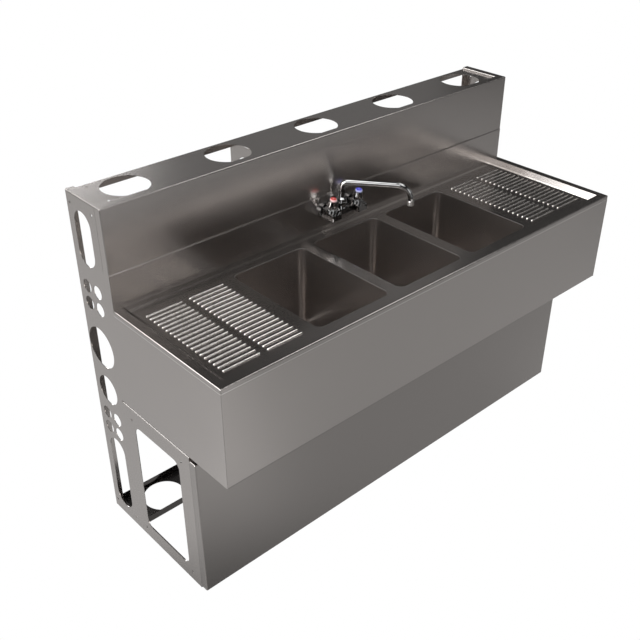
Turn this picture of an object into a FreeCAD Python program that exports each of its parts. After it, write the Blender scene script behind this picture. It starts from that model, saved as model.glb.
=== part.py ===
import FreeCAD, Part
import math
import os
import re

import Sketcher

# Underbar sink with two ribbed drainboards, on a die wall and a pedestal base.
# +Z is up, +X along the unit, +Y towards the back; the origin is on the floor under the middle.

SIZES = {
    # the whole unit
    "unit_length": (1524.0, "length of the unit"),
    "die_height": (1041.0, "floor to the top of the die wall"),
    "die_depth": (163.1, "splash face to the open back of the die wall"),
    "sink_projection": (440.5, "splash face to the front of the sink"),
    "base_projection": (306.5, "splash face to the front of the base panel"),
    "rim_height": (762.0, "floor to the rim of the sink"),
    "sheet_gauge": (1.5, "thickness of the folded sheets"),
    "flange_width": (25.4, "width of a folded edge"),
    "bend_radius": (3.0, "outside radius of a fold"),
    "lip_radius": (1.4, "radius along the rear edge of the front panel's top"),
    # die wall
    "plate_step": (5.5, "drop from the top flanges to the top plate"),
    "channel_lip": (22.0, "height of the bottom channel's folds"),
    "chase_diameter": (127.0, "round pipe chase in the top and bottom channel"),
    "chase_end": (127.0, "end of the unit to the centre of the outermost pipe chase"),
    "chase_inset": (71.5, "open back to the centre of the pipe chases"),
    "stud_overlap": (3.0, "reach of a stud past the edge of a pipe chase"),
    "knockout_inset": (66.5, "open back to the centre line of the knock-outs"),
    "slot_width": (76.2, "width of the long knock-outs"),
    "slot_margin": (38.0, "end of a long knock-out to the end of the sheet"),
    "upper_slot_length": (152.4, "length of the upper knock-out"),
    "lower_slot_length": (254.0, "length of the lower knock-out"),
    "large_knockout": (120.8, "diameter of the large round knock-out"),
    "large_knockout_room": (0.443, "share of the free height that lies above the large knock-out"),
    "medium_knockout": (89.0, "diameter of the medium round knock-out"),
    "medium_knockout_room": (0.24, "share of the free height that lies below the medium knock-out"),
    "small_knockout": (38.1, "diameter of the small round knock-outs"),
    "small_knockout_pitch": (50.8, "distance between small knock-outs"),
    "upper_group_gap": (46.15, "upper long knock-out to the small knock-outs below it"),
    "lower_group_gap": (14.55, "lower long knock-out to the small knock-outs above it"),
    "fixing_diameter": (7.0, "holes for ganging units and for the bar top"),
    "fixing_inset": (50.7, "ends and sides to the fixing holes in line"),
    "fixing_margin": (17.0, "back or frame edge to a row of fixing holes"),
    "fixing_height": (30.0, "floor to the lowest fixing holes"),
    # sink
    "sink_height": (291.0, "rim to the bottom edge of the sink body"),
    "splash_height": (101.6, "rim to the top of the splash"),
    "rim_width": (25.4, "flat rim round the recessed deck"),
    "recess_depth": (16.0, "rim to the deck"),
    "recess_slope": (18.0, "run of the slope from rim to deck"),
    "edge_turn": (14.0, "height of the deck's turned-down edge"),
    "bowl_width": (252.0, "inside of a bowl along the unit"),
    "bowl_length": (350.0, "inside of a bowl, front to back"),
    "bowl_depth": (254.0, "deck to the floor of a bowl"),
    "bowl_pitch": (292.0, "distance between bowls"),
    "bowl_setback": (31.5, "splash face to the inside of a bowl"),
    "bowl_corner": (20.0, "inside radius of a bowl's upright corners"),
    "bowl_cove": (15.0, "inside radius along a bowl's floor"),
    "bowl_roll": (1.0, "radius over a bowl's edge"),
    "weld_margin": (3.0, "flat flange round a bowl's edge"),
    "corner_grind": (1.2, "radius ground on the sink's upright welded corners"),
    "rib_width": (6.6, "width of a drainboard rib"),
    "rib_pitch": (17.6, "distance between ribs"),
    "rib_count": (19.0, "ribs in a column"),
    "rib_column_gap": (21.5, "clear space between two columns of ribs"),
    "rib_bowl_gap": (38.75, "flange of the outer bowl to the ribs"),
    "rib_end_gap": (15.35, "ribs to the foot of the slope at the end"),
    "rib_row_setback": (210.5, "splash face to the middle of the ribs"),
    "rail_height": (40.0, "height of the rails"),
    "rail_depth": (24.0, "depth of the rails, front to back"),
    "stiffener_width": (40.0, "width of a drainboard stiffener"),
    "stiffener_height": (25.0, "height of a drainboard stiffener"),
    "sink_bolt_margin": (48.5, "rim or bottom edge of the sink to a frame bolt"),
    # base
    "seat_strip_thickness": (4.5, "thickness of the strips between base and sink"),
    "base_bolt_margin": (58.3, "floor or top of a base end to a frame bolt"),
    "base_fixing_inset": (38.1, "upright edges of a base end to its fixing holes"),
    "base_fixing_drop": (39.0, "top of a base end to its upper fixing holes"),
    "base_cutout_margin": (51.5, "edge of a base end to its cut-out"),
    "base_cutout_low": (48.0, "floor to the bottom of the cut-out"),
    "base_cutout_drop": (52.5, "top of a base end to the top of its cut-out"),
    "base_cutout_corner": (25.0, "corner radius of the cut-out"),
    "panel_low": (7.6, "floor to the bottom of the front panel"),
    "panel_drop": (11.5, "top of the base ends to the top of the front panel"),
    "hook_inset": (254.0, "end of the unit to a panel hook"),
    "hook_width": (40.0, "width of a panel hook"),
    "hook_gauge": (2.5, "thickness of a panel hook"),
    "hook_drop": (8.0, "how far a hook hangs behind its rail"),
    "hook_slot_height": (13.5, "height of the slot for a hook"),
    "hook_slot_floor": (14.0, "bottom of a rail to the floor of its slots"),
    "seat_strip_width": (18.0, "width of the strip between base and sink"),
    # fasteners
    "bolt_diameter": (8.0, "frame bolts"),
    "bolt_across": (13.0, "frame bolts' hexagon, across flats"),
    "bolt_head": (5.3, "height of a frame bolt's head"),
    "bolt_end": (3.0, "thread that stands out of a nut"),
    "nut_height": (6.5, "height of a frame nut"),
    "bolt_play": (0.2, "radial clearance round a bolt"),
    # drains
    "drain_flange": (112.0, "diameter of a drain's flange"),
    "drain_flange_thickness": (2.0, "thickness of a drain's flange"),
    "drain_body": (88.0, "outside diameter of a drain's threaded body"),
    "drain_wall": (3.0, "wall of a drain's body"),
    "drain_body_depth": (44.0, "bowl floor to the underside of a drain"),
    "drain_play": (0.6, "radial clearance of a drain in its hole"),
    "gasket_thickness": (3.0, "drain gasket"),
    "drain_nut_height": (9.0, "drain locknut"),
    "drain_nut_width": (10.0, "radial width of a drain's locknut"),
    "drain_nut_notches": (6.0, "notches round a drain's locknut"),
    "tail_diameter": (38.1, "outside diameter of a tailpiece"),
    "tail_wall": (1.6, "wall of a tailpiece"),
    "tail_length": (100.0, "length of a tailpiece"),
    "tail_seat": (1.0, "underside of a drain to the end of its tailpiece"),
    "groove_offset": (1.0, "nut to the groove round the tube behind it"),
    "groove_width": (1.5, "width of that groove"),
    "groove_depth": (0.5, "depth of that groove"),
    "tail_nut_height": (16.0, "height of a tailpiece nut"),
    "tail_nut_across": (52.0, "tailpiece nut, across flats"),
    "basket_height": (32.0, "strainer basket"),
    "basket_taper": (5.0, "radius that a basket loses towards its floor"),
    "basket_play": (1.0, "radial clearance of a basket in its drain"),
    "basket_hole": (4.5, "holes in a basket's floor"),
    "basket_outer_ring": (23.0, "radius of a basket's outer ring of holes"),
    "basket_outer_holes": (16.0, "holes in the outer ring"),
    "basket_inner_ring": (13.8, "radius of a basket's inner ring of holes"),
    "basket_inner_holes": (9.0, "holes in the inner ring"),
    "knob_diameter": (14.0, "lifting knob of a basket"),
    "knob_height": (7.0, "height of the knob"),
    "knob_neck": (7.0, "diameter of the neck under the knob"),
    "knob_edge": (3.5, "chamfer above and below the knob"),
    # faucet
    "valve_spacing": (101.6, "distance between the two inlets"),
    "valve_setback": (30.0, "splash face to the foot of a valve's axis"),
    "valve_block": (36.0, "width of a valve's square-cut housing"),
    "valve_block_depth": (48.0, "depth of a housing, front to back"),
    "valve_block_back": (10.0, "splash face to the back of a valve housing"),
    "valve_tilt": (15.0, "lean of the valves towards the user, degrees"),
    "valve_foot_rise": (64.0, "rim to the foot of a valve's axis"),
    "valve_block_height": (24.0, "height of a valve housing at its axis"),
    "well_diameter": (16.0, "well for a valve's stem"),
    "well_depth": (15.4, "foot of a valve's axis to the bottom of its well"),
    "housing_chamfer": (2.0, "chamfer on the upright edges of a housing"),
    "bridge_width": (28.0, "front-to-back width of the bridge between valves"),
    "bridge_height": (16.0, "height of the bridge"),
    "inlet_rise": (52.0, "rim to the inlets' axes"),
    "shank_diameter": (20.8, "threaded inlet shank"),
    "shank_bore": (14.0, "waterway of a shank"),
    "shank_end": (66.0, "splash face to the end of a shank, backwards"),
    "shank_play": (0.6, "radial clearance round a shank"),
    "neck_wall": (2.4, "wall of a housing's neck round its shank"),
    "wall_flange_diameter": (48.0, "escutcheon against the splash"),
    "wall_flange_depth": (8.0, "depth of an escutcheon"),
    "shank_nut_across": (32.0, "shank locknut, across flats"),
    "shank_nut_height": (7.0, "height of a shank locknut"),
    "bonnet_diameter": (24.0, "valve bonnet"),
    "bonnet_height": (9.0, "height of a bonnet"),
    "bonnet_chamfer": (2.0, "chamfer on a bonnet's top"),
    "stem_diameter": (8.0, "valve stem"),
    "stem_depth": (12.0, "length of the stem inside its housing"),
    "stem_grip": (8.0, "length of the stem inside its handle's core"),
    "running_play": (0.05, "radial clearance of a shaft that turns"),
    "moving_gap": (0.4, "space between pieces that move on each other"),
    "handle_foot": (29.0, "diameter of a handle at its foot"),
    "handle_waist": (32.0, "largest diameter of a handle"),
    "handle_crown": (27.0, "diameter of a handle's top"),
    "handle_height": (35.5, "height of a handle above its housing"),
    "handle_gap": (0.8, "space between a housing and its handle"),
    "handle_foot_rise": (6.0, "housing to the top of a handle's foot"),
    "handle_waist_low": (11.0, "housing to the lower edge of a handle's waist"),
    "handle_waist_high": (19.0, "housing to the upper edge of a handle's waist"),
    "handle_edge": (1.0, "chamfer round a handle's top"),
    "flute_diameter": (9.0, "finger flutes round a handle"),
    "flute_length": (25.5, "length of a flute, from the handle's top"),
    "flute_count": (6.0, "flutes round a handle"),
    "button_diameter": (21.0, "coloured index button"),
    "button_rise": (4.5, "height of a button above its handle"),
    "button_dome": (4.0, "radius round a button's top"),
    "button_depth": (2.0, "depth of a button's seat"),
    "spout_setback": (21.0, "splash face to the spout's riser"),
    "spout_boss": (30.0, "diameter of the spout's boss"),
    "spout_boss_rise": (74.0, "rim to the top of the boss"),
    "spout_nut_diameter": (27.0, "spout nut"),
    "spout_nut_height": (13.0, "height of the spout nut"),
    "spout_nut_shoulder": (9.0, "height of the spout nut's straight part"),
    "spout_nut_lip": (1.0, "width of the spout nut's upper edge"),
    "spout_diameter": (16.0, "outside diameter of the spout tube"),
    "spout_wall": (1.4, "wall of the spout tube"),
    "spout_depth": (12.0, "length of the spout inside its boss"),
    "spout_rise": (135.0, "rim to the centre line of the spout's arm"),
    "spout_reach": (200.0, "riser to the outlet"),
    "spout_turn": (16.0, "bend radius over the riser"),
    "spout_bend": (43.0, "bend radius towards the outlet"),
    "spout_outlet_rise": (82.0, "rim to the end of the spout tube"),
    "spout_swing": (-51.7, "direction of the arm, degrees from +X"),
    "aerator_diameter": (20.0, "outside diameter of the aerator"),
    "aerator_rise": (75.5, "rim to the bottom of the aerator"),
    "aerator_length": (15.0, "length of the aerator"),
    "aerator_shoulder": (3.0, "height of the aerator's sloping shoulder"),
    "aerator_edge": (1.0, "width of the aerator's shoulder and chamfers"),
    "screen_rise": (4.0, "outlet to the underside of the aerator's screen"),
}

# Places that follow from the sizes above.
PLACES = {
    "half_length": "unit_length / 2",
    "splash_y": "(sink_projection - die_depth) / 2",
    "back_y": "splash_y + die_depth",
    "frame_y": "splash_y + flange_width",
    "front_y": "splash_y - sink_projection",
    "base_front_y": "splash_y - base_projection",
    "base_frame_y": "base_front_y + flange_width",
    "plate_z": "die_height - plate_step",
    "deck_z": "rim_height - recess_depth",
    "bowl_floor_z": "deck_z - bowl_depth",
    "bowl_y": "splash_y - bowl_setback - bowl_length / 2",
    "sink_low_z": "rim_height - sink_height",
    "splash_top_z": "rim_height + splash_height",
    "turn_z": "rim_height - edge_turn",
    "chase_y": "back_y - chase_inset",
    "chase_pitch": "(half_length - chase_end) / 2",
    "knockout_y": "back_y - knockout_inset",
    "stud_x": "chase_pitch - chase_diameter / 2 + stud_overlap",
    "small_group_reach": "(small_knockout_pitch + small_knockout) / 2",
    "lower_group_z": "slot_margin + lower_slot_length + lower_group_gap + small_group_reach",
    "upper_group_z": "die_height - slot_margin - upper_slot_length - upper_group_gap - small_group_reach",
    "round_low_z": "lower_group_z + small_group_reach",
    "round_high_z": "upper_group_z - small_group_reach",
    "round_room": "round_high_z - round_low_z - medium_knockout - large_knockout",
    "medium_knockout_z": "round_low_z + round_room * medium_knockout_room + medium_knockout / 2",
    "large_knockout_z": "round_high_z - round_room * large_knockout_room - large_knockout / 2",
    "plate_end": "half_length - sheet_gauge",
    "flange_end": "half_length - flange_width",
    "bowl_edge": "bowl_roll + weld_margin",
    "rib_low_x": "bowl_pitch + bowl_width / 2 + bowl_edge + rib_bowl_gap",
    "rib_high_x": "half_length - rim_width - recess_slope - rib_end_gap",
    "rib_length": "(rib_high_x - rib_low_x - rib_column_gap) / 2",
    "drainboard_x": "(rib_low_x + rib_high_x) / 2",
    "basket_radius": "drain_body / 2 - drain_wall - basket_play",
    "drain_low_z": "bowl_floor_z - drain_body_depth",
    "tail_top_z": "drain_low_z - tail_seat",
    "tail_groove_z": "drain_low_z - tail_nut_height - groove_offset",
    "shank_groove": "sheet_gauge + shank_nut_height + groove_offset",
    "base_height": "sink_low_z - seat_strip_thickness",
    "base_cutout_high": "base_height - base_cutout_drop",
    "panel_high": "base_height - panel_drop",
    "hook_x": "half_length - hook_inset",
    "valve_x": "valve_spacing / 2",
    "valve_y": "splash_y - valve_setback",
    "valve_z": "rim_height + valve_foot_rise",
    "inlet_z": "rim_height + inlet_rise",
    "spout_y": "splash_y - spout_setback",
    "boss_z": "rim_height + spout_boss_rise",
    "bolt_x": "half_length - flange_width / 2",
    "bolt_hole_radius": "bolt_diameter / 2 + bolt_play",
    "panel_back_y": "base_frame_y - moving_gap",
    "top_rail_z": "base_height - sheet_gauge - rail_height",
}

SIDES = {"left": -1, "right": 1}
VALVES = {"hot": -1, "cold": 1}
BOWLS = {"left": -1, "centre": 0, "right": 1}
CHASE_STEPS = (-2, -1, 0, 1, 2)
TINY = 0.01

doc = FreeCAD.newDocument("UnderbarSink")
sheet = doc.addObject("Spreadsheet::Sheet", "Sizes")
for row, (alias, (size, meaning)) in enumerate(SIZES.items(), start=1):
    sheet.set(f"A{row}", meaning)
    sheet.set(f"B{row}", str(size))
    sheet.setAlias(f"B{row}", alias)
doc.recompute()


# ---------------------------------------------------------------- formulas

def formula(text):
    """Spell out places and sizes, such as `deck_z + sheet_gauge`, in the sheet's cells."""
    def spell(match):
        word = match.group(0)
        if word in PLACES:
            return f"({formula(PLACES[word])})"
        return f"Sizes.{word}" if word in SIZES else word
    return re.sub(r"[a-z_]+", spell, text)


def number(text):
    return float(sheet.evalExpression(formula(text)))


def bind(thing, prop, text):
    thing.setExpression(prop, formula(text))


def span(side, near, far):
    """The low and high end of a stretch that lies `near` to `far` from the middle, on one side."""
    return (near, far) if side > 0 else (f"-({far})", f"-({near})")


# ---------------------------------------------------------------- primitives and booleans

def block(x, y, z):
    box = doc.addObject("Part::Box", "block")
    for prop, axis, (low, high) in zip(("Length", "Width", "Height"), "xyz", (x, y, z)):
        bind(box, prop, f"({high}) - ({low})")
        bind(box, f"Placement.Base.{axis}", low)
    return box


def turned(thing, at, tip, angle="0"):
    """Place a primitive at a point, its own Z axis tipped over +X by `tip` degrees."""
    thing.Placement = FreeCAD.Placement(
        FreeCAD.Vector(), FreeCAD.Rotation(FreeCAD.Vector(1, 0, 0), tip)
    )
    for axis, text in zip("xyz", at):
        bind(thing, f"Placement.Base.{axis}", text)
    return thing


def rod(radius, length, at, tip=0):
    cylinder = doc.addObject("Part::Cylinder", "rod")
    bind(cylinder, "Radius", radius)
    bind(cylinder, "Height", length)
    return turned(cylinder, at, tip)


def hexagon(across, length, at, tip=0):
    prism = doc.addObject("Part::Prism", "hexagon")
    prism.Polygon = 6
    bind(prism, "Circumradius", f"({across}) / 2 / cos(30)")
    bind(prism, "Height", length)
    return turned(prism, at, tip)


def joined(pieces, label="joined"):
    union = doc.addObject("Part::MultiFuse", label)
    union.Shapes = pieces
    union.Refine = True
    return union


def less(base, tools, label="cut"):
    cut = doc.addObject("Part::Cut", label)
    cut.Base = base
    cut.Tool = tools[0] if len(tools) == 1 else joined(tools)
    return cut


def group(pieces, label):
    """Identical loose pieces that share one node."""
    compound = doc.addObject("Part::Compound", label)
    compound.Links = pieces
    return compound


# ---------------------------------------------------------------- bodies and sketches

def new_body(label):
    return doc.addObject("PartDesign::Body", label)


def sketch_on(body, plane, at="0", row="0"):
    """A sketch parallel to a plane of the body's origin, at `at` on the third axis."""
    sketch = body.newObject("Sketcher::SketchObject", "sketch")
    planes = [f for f in body.Origin.OriginFeatures if f.Role == f"{plane}_Plane"]
    sketch.AttachmentSupport = [(planes[0], "")]
    sketch.MapMode = "FlatFace"
    bind(sketch, "AttachmentOffset.Base.z", f"-({at})" if plane == "XZ" else at)
    bind(sketch, "AttachmentOffset.Base.y", row)
    return sketch


def hold(sketch, kind, *where, size):
    """Add a dimension that follows a formula."""
    index = sketch.addConstraint(Sketcher.Constraint(kind, *where, number(size)))
    bind(sketch, f"Constraints[{index}]", size)


def pin_point(sketch, line, end, u, v):
    hold(sketch, "DistanceX", -1, 1, line, end, size=u)
    hold(sketch, "DistanceY", -1, 1, line, end, size=v)


def add_line(sketch, start, finish):
    return sketch.addGeometry(Part.LineSegment(FreeCAD.Vector(*start), FreeCAD.Vector(*finish)))


def add_arc(sketch, centre, radius, start, finish):
    circle = Part.Circle(FreeCAD.Vector(*centre), FreeCAD.Vector(0, 0, 1), radius)
    arc = Part.ArcOfCircle(circle, math.radians(start), math.radians(finish))
    return sketch.addGeometry(arc)


def link(sketch, kind, *where):
    sketch.addConstraint(Sketcher.Constraint(kind, *where))


def draw_outline(sketch, corners):
    """A closed outline of straight lines through the given corners."""
    points = [(number(u), number(v)) for u, v in corners]
    following = points[1:] + points[:1]
    lines = [add_line(sketch, start, finish) for start, finish in zip(points, following)]
    for line, before, (u, v) in zip(lines, lines[-1:] + lines[:-1], corners):
        link(sketch, "Coincident", before, 2, line, 1)
        pin_point(sketch, line, 1, u, v)


def draw_rectangle(sketch, u, v):
    (left, right), (low, high) = u, v
    draw_outline(sketch, [(left, low), (right, low), (right, high), (left, high)])


def draw_rounded(sketch, u, v, radius):
    """A rectangle with rounded corners."""
    (left, right), (low, high) = [[number(text) for text in pair] for pair in (u, v)]
    bend = number(radius)
    loop = [
        add_line(sketch, (left + bend, low), (right - bend, low)),
        add_arc(sketch, (right - bend, low + bend), bend, 270, 360),
        add_line(sketch, (right, low + bend), (right, high - bend)),
        add_arc(sketch, (right - bend, high - bend), bend, 0, 90),
        add_line(sketch, (right - bend, high), (left + bend, high)),
        add_arc(sketch, (left + bend, high - bend), bend, 90, 180),
        add_line(sketch, (left, high - bend), (left, low + bend)),
        add_arc(sketch, (left + bend, low + bend), bend, 180, 270),
    ]
    for piece, after in zip(loop, loop[1:] + loop[:1]):
        link(sketch, "Tangent", piece, 2, after, 1)
    for index, kind in enumerate(("Horizontal", "Vertical", "Horizontal", "Vertical")):
        link(sketch, kind, loop[2 * index])
    for arc in loop[3::2]:
        link(sketch, "Equal", loop[1], arc)
    hold(sketch, "Radius", loop[1], size=radius)
    hold(sketch, "DistanceY", -1, 1, loop[0], 1, size=v[0])
    hold(sketch, "DistanceX", -1, 1, loop[2], 1, size=u[1])
    hold(sketch, "DistanceY", -1, 1, loop[4], 1, size=v[1])
    hold(sketch, "DistanceX", -1, 1, loop[6], 1, size=u[0])


def draw_circle(sketch, u, v, radius):
    circle = Part.Circle(
        FreeCAD.Vector(number(u), number(v)), FreeCAD.Vector(0, 0, 1), number(radius)
    )
    index = sketch.addGeometry(circle)
    pin_point(sketch, index, 3, u, v)
    hold(sketch, "Radius", index, size=radius)


def draw_slot(sketch, u, low, high, radius):
    """An upright slot with round ends whose centres are at `low` and `high`."""
    middle, bottom, top, bend = [number(text) for text in (u, low, high, radius)]
    loop = [
        add_arc(sketch, (middle, top), bend, 0, 180),
        add_line(sketch, (middle - bend, top), (middle - bend, bottom)),
        add_arc(sketch, (middle, bottom), bend, 180, 360),
        add_line(sketch, (middle + bend, bottom), (middle + bend, top)),
    ]
    for piece, after in zip(loop, loop[1:] + loop[:1]):
        link(sketch, "Tangent", piece, 2, after, 1)
    link(sketch, "Equal", loop[0], loop[2])
    link(sketch, "Vertical", loop[1])
    hold(sketch, "Radius", loop[0], size=radius)
    pin_point(sketch, loop[0], 3, u, high)
    hold(sketch, "DistanceY", -1, 1, loop[2], 3, size=low)


def draw_half_slot(sketch, left, right, radius):
    """The upper half of a slot that lies along the sketch's own X axis."""
    start, finish, bend = [number(text) for text in (left, right, radius)]
    base = add_line(sketch, (start, 0), (finish, 0))
    far = add_arc(sketch, (finish - bend, 0), bend, 0, 90)
    top = add_line(sketch, (finish - bend, bend), (start + bend, bend))
    near = add_arc(sketch, (start + bend, 0), bend, 90, 180)
    loop = [base, far, top, near]
    for piece, after in zip(loop, loop[1:] + loop[:1]):
        link(sketch, "Coincident", piece, 2, after, 1)
    pin_point(sketch, base, 1, left, "0")
    pin_point(sketch, base, 2, right, "0")
    pin_point(sketch, far, 3, f"{right} - {radius}", "0")
    pin_point(sketch, near, 3, f"{left} + {radius}", "0")
    hold(sketch, "DistanceX", -1, 1, top, 1, size=f"{right} - {radius}")
    hold(sketch, "DistanceX", -1, 1, top, 2, size=f"{left} + {radius}")


# ---------------------------------------------------------------- features

def extrude(body, sketch, length, kind="Pad", reverse=False):
    feature = body.newObject(f"PartDesign::{kind}", kind.lower())
    feature.Profile = sketch
    feature.Reversed = reverse
    bind(feature, "Length", length)
    doc.recompute()
    return feature


def pocket(body, sketch, depth, reverse=False):
    return extrude(body, sketch, depth, "Pocket", reverse)


def revolve(body, sketch, axis="V_Axis", angle=360.0):
    feature = body.newObject("PartDesign::Revolution", "revolution")
    feature.Profile = sketch
    feature.ReferenceAxis = (sketch, [axis])
    feature.Angle = angle
    doc.recompute()
    return feature


def loft(body, kind, start, finish):
    feature = body.newObject(f"PartDesign::{kind}Loft", kind.lower() + "_loft")
    feature.Profile = start
    feature.Sections = [finish]
    feature.Ruled = True
    doc.recompute()
    return feature


def edges_on(body, **planes):
    """Names of the edges of a body's last feature that lie wholly at the given places."""
    found = []
    for index, edge in enumerate(body.Tip.Shape.Edges, start=1):
        bounds = edge.BoundBox
        ends = {axis: (getattr(bounds, axis + "Min"), getattr(bounds, axis + "Max")) for axis in "XYZ"}
        if all(abs(end - number(text)) < TINY for axis, text in planes.items() for end in ends[axis]):
            found.append(f"Edge{index}")
    return found


def edges_within(body, x, y, z):
    """Names of the edges of a body's last feature that lie inside a box."""
    limits = [[number(text) for text in pair] for pair in (x, y, z)]
    found = []
    for index, edge in enumerate(body.Tip.Shape.Edges, start=1):
        points = [edge.valueAt(edge.getParameterByLength(edge.Length * share)) for share in (0, 0.5, 1)]
        if all(low - TINY < value < high + TINY
               for point in points for value, (low, high) in zip(point, limits)):
            found.append(f"Edge{index}")
    return found


def soften(body, names, radius, kind="Fillet"):
    feature = body.newObject(f"PartDesign::{kind}", kind.lower())
    feature.Base = (feature.BaseFeature, names)
    bind(feature, "Radius" if kind == "Fillet" else "Size", radius)
    doc.recompute()
    return feature


def repeat_around(body, feature, sketch, count):
    """Repeat a feature all round the axis of the sketch it is drawn in."""
    around = body.newObject("PartDesign::PolarPattern", "ring_of_copies")
    around.Originals = [feature]
    around.Axis = (sketch, ["N_Axis"])
    around.Angle = 360.0
    bind(around, "Occurrences", count)
    body.Tip = around
    doc.recompute()


def subtract(body, tool):
    """Cut one body out of another."""
    feature = body.newObject("PartDesign::Boolean", "boolean")
    feature.setObjects([tool])
    feature.Type = "Cut"
    doc.recompute()
    return feature


def place(body, at, tilt=None, turn=None):
    """Put a body that is drawn about its own axis where it belongs."""
    if tilt:
        body.Placement.Rotation = FreeCAD.Rotation(FreeCAD.Vector(1, 0, 0), 1)
        bind(body, "Placement.Rotation.Angle", tilt)
    if turn:
        body.Placement.Rotation = FreeCAD.Rotation(FreeCAD.Vector(0, 0, 1), 1)
        bind(body, "Placement.Rotation.Angle", turn)
    for axis, text in zip("xyz", at):
        bind(body, f"Placement.Base.{axis}", text)
    return body


def turned_part(label, profile, at=("0", "0", "0"), tilt=None):
    """A round piece: `profile` is its half section, as radius and height."""
    body = new_body(label)
    sketch = sketch_on(body, "XZ")
    draw_outline(sketch, profile)
    revolve(body, sketch)
    return place(body, at, tilt)


def grooved_tube(label, inner, outer, ends, groove_low, at, tilt=None):
    """A tube with a groove round it, where its free end begins."""
    low, high = ends
    groove_high, groove_floor = f"{groove_low} + groove_width", f"{outer} - groove_depth"
    return turned_part(label, [
        (inner, low), (outer, low), (outer, groove_low), (groove_floor, groove_low),
        (groove_floor, groove_high), (outer, groove_high), (outer, high), (inner, high),
    ], at, tilt)


# ---------------------------------------------------------------- die wall

def draw_knockouts(sketch):
    """The pipe knock-outs of an end panel or stud, from the floor up."""
    slot_radius = "slot_width / 2"
    draw_slot(sketch, "knockout_y", "slot_margin + slot_width / 2",
              "slot_margin + lower_slot_length - slot_width / 2", slot_radius)
    draw_slot(sketch, "knockout_y", "die_height - slot_margin - upper_slot_length + slot_width / 2",
              "die_height - slot_margin - slot_width / 2", slot_radius)
    draw_circle(sketch, "knockout_y", "large_knockout_z", "large_knockout / 2")
    draw_circle(sketch, "knockout_y", "medium_knockout_z", "medium_knockout / 2")
    for group_z in ("lower_group_z", "upper_group_z"):
        for along in ("-", "+"):
            for up in ("-", "+"):
                draw_circle(sketch, f"knockout_y {along} small_knockout_pitch / 2",
                            f"{group_z} {up} small_knockout_pitch / 2", "small_knockout / 2")


def end_pan(label, side, y, height):
    """A side sheet whose four edges are folded inwards."""
    body = new_body(label)
    outer = sketch_on(body, "YZ", f"{side} * half_length")
    draw_rectangle(outer, y, ("0", height))
    extrude(body, outer, "flange_width", reverse=side > 0)
    inner = sketch_on(body, "YZ", f"{side} * flange_end")
    draw_rectangle(inner, (f"{y[0]} + sheet_gauge", f"{y[1]} - sheet_gauge"),
                   ("sheet_gauge", f"{height} - sheet_gauge"))
    pocket(body, inner, "flange_width - sheet_gauge", reverse=side > 0)
    return body


def cut_end(body, side, draw):
    sketch = sketch_on(body, "YZ", f"{side} * half_length")
    draw(sketch)
    pocket(body, sketch, "sheet_gauge", reverse=side < 0)


def cut_bolt_holes(body, side, back, heights):
    """Bolt holes through an upright fold whose rear face is at `back`."""
    sketch = sketch_on(body, "XZ", back)
    for height in heights:
        draw_circle(sketch, f"{side} * bolt_x", height, "bolt_hole_radius")
    pocket(body, sketch, "sheet_gauge", reverse=True)


BASE_BOLTS = ("base_bolt_margin", "base_height - base_bolt_margin")
SINK_BOLTS = ("sink_low_z + sink_bolt_margin", "rim_height - sink_bolt_margin")


def die_end_panel(name, side):
    body = end_pan(f"die_end_panel_{name}", side, ("frame_y", "back_y"), "die_height")

    def draw(sketch):
        draw_knockouts(sketch)
        for y in ("frame_y + fixing_margin", "back_y - fixing_margin"):
            for z in ("fixing_height", "die_height - fixing_height"):
                draw_circle(sketch, y, z, "fixing_diameter / 2")

    cut_end(body, side, draw)
    cut_bolt_holes(body, side, "frame_y + sheet_gauge", BASE_BOLTS + SINK_BOLTS)
    lip = sketch_on(body, "YZ", f"{side} * flange_end")
    draw_rectangle(lip, ("frame_y + sheet_gauge", "back_y - sheet_gauge"),
                   ("plate_z", "die_height - sheet_gauge"))
    extrude(body, lip, "sheet_gauge", reverse=side < 0)
    face = f"{side} * half_length"
    folds = edges_on(body, X=face, Z="die_height") + edges_on(body, X=face, Y="back_y")
    soften(body, folds, "bend_radius")
    soften(body, edges_on(body, X=f"{side} * flange_end", Z="die_height"), "bend_radius")
    return body


def channel(label, plate_low, plate_reach, fold, extra_holes):
    """A plate with pipe chases and a fold down or up along both long edges."""
    inside = ("frame_y + sheet_gauge", "back_y - sheet_gauge")
    pieces = [block((f"-{plate_reach}", plate_reach), inside, (plate_low, f"{plate_low} + sheet_gauge"))]
    for low, high in (("frame_y", inside[0]), (inside[1], "back_y")):
        pieces.append(block(("-flange_end", "flange_end"), (low, high), fold))
    chases = [
        rod("chase_diameter / 2", "sheet_gauge * 3",
            (f"{step} * chase_pitch", "chase_y", f"{plate_low} - sheet_gauge"))
        for step in CHASE_STEPS
    ]
    return less(joined(pieces), chases + extra_holes, label)


def die_top_channel():
    """The top plate lies a step below the folds round it."""
    fixings = [
        rod("fixing_diameter / 2", "sheet_gauge * 3",
            (f"{end} * (half_length - fixing_inset)", y, "plate_z - sheet_gauge * 2"))
        for end in (-1, 1)
        for y in ("frame_y + fixing_margin", "back_y - fixing_margin")
    ]
    return channel("die_top_channel", "plate_z - sheet_gauge", "plate_end",
                   ("die_height - flange_width", "plate_z"), fixings)


def die_bottom_channel():
    return channel("die_bottom_channel", "0", "flange_end", ("0", "channel_lip"), [])


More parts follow.
